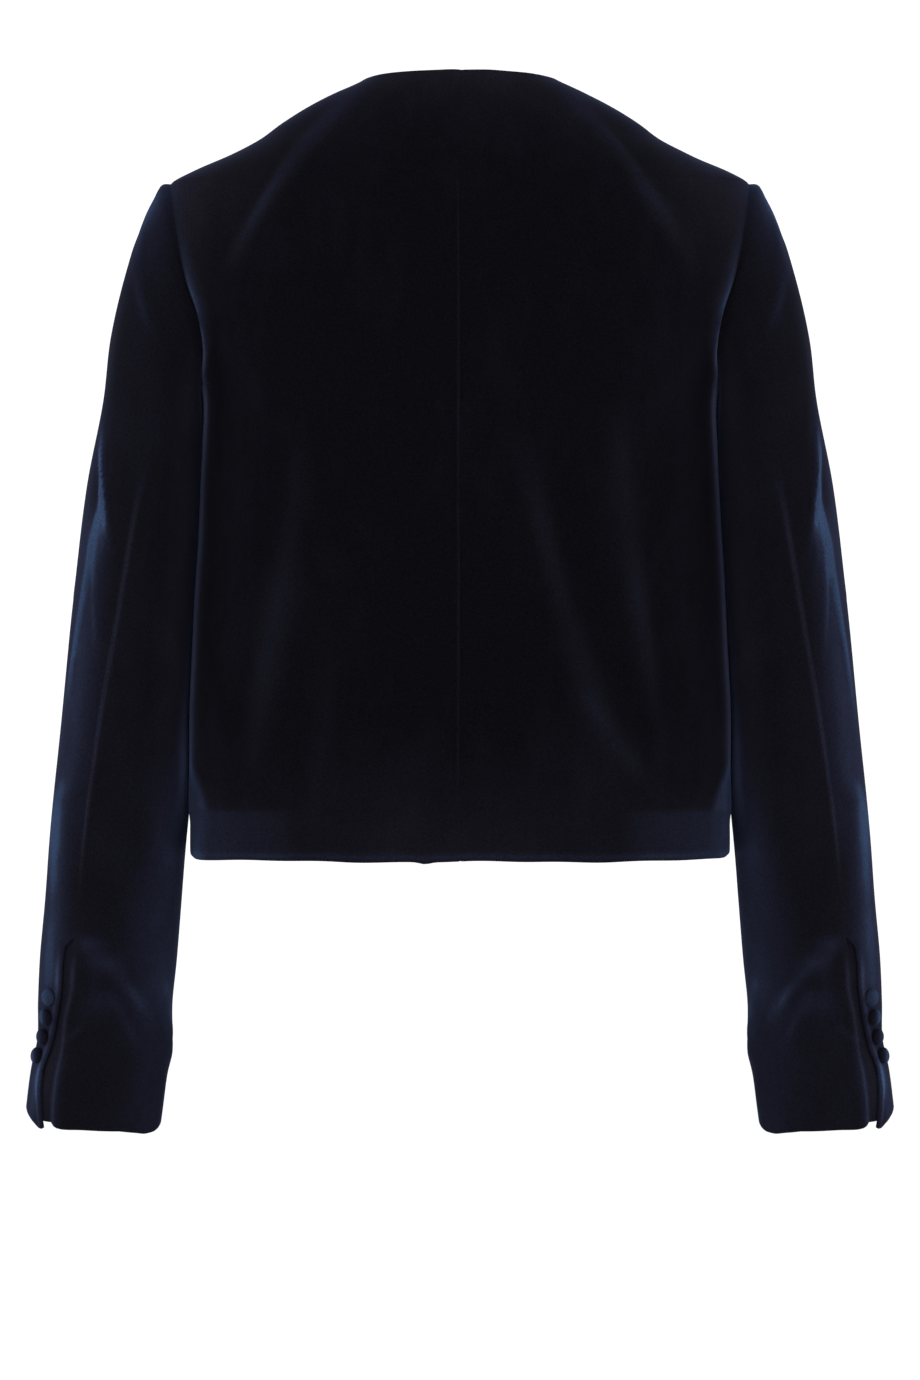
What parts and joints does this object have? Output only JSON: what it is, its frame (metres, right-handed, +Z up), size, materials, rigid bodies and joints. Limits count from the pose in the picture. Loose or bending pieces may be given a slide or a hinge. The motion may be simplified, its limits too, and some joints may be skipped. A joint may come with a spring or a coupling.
{
  "type": "velvet jacket",
  "caption": "Cropped collarless velvet jacket with set-in two-piece sleeves, buttoned cuff vents and an edge-to-edge front, hollow as worn.",
  "frame": {"origin": "midway between the two shoulder points, where the wearer's shoulders carry the jacket", "axes": "+Z up the back, -Y out of the back that the picture shows, +Y out of the front, +X to the wearer's right"},
  "size_m": [0.579, 0.2422, 0.6954],
  "materials": {
    "velvet": "cut pile velvet, near-black navy with a blue sheen at the edges",
    "covered_button": "velvet-covered button"
  },
  "bodies": {
    "root": {"back_right": "velvet", "back_left": "velvet", "front_right": "velvet", "front_left": "velvet", "top_sleeve_right": "velvet", "top_sleeve_left": "velvet", "under_sleeve_right": "velvet", "under_sleeve_left": "velvet", "cuff_underlap_right": "velvet", "cuff_underlap_left": "velvet", "cuff_button_right_1": "covered_button", "cuff_button_right_2": "covered_button", "cuff_button_right_3": "covered_button", "cuff_button_right_4": "covered_button", "cuff_button_left_1": "covered_button", "cuff_button_left_2": "covered_button", "cuff_button_left_3": "covered_button", "cuff_button_left_4": "covered_button"}
  },
  "joints": []
}
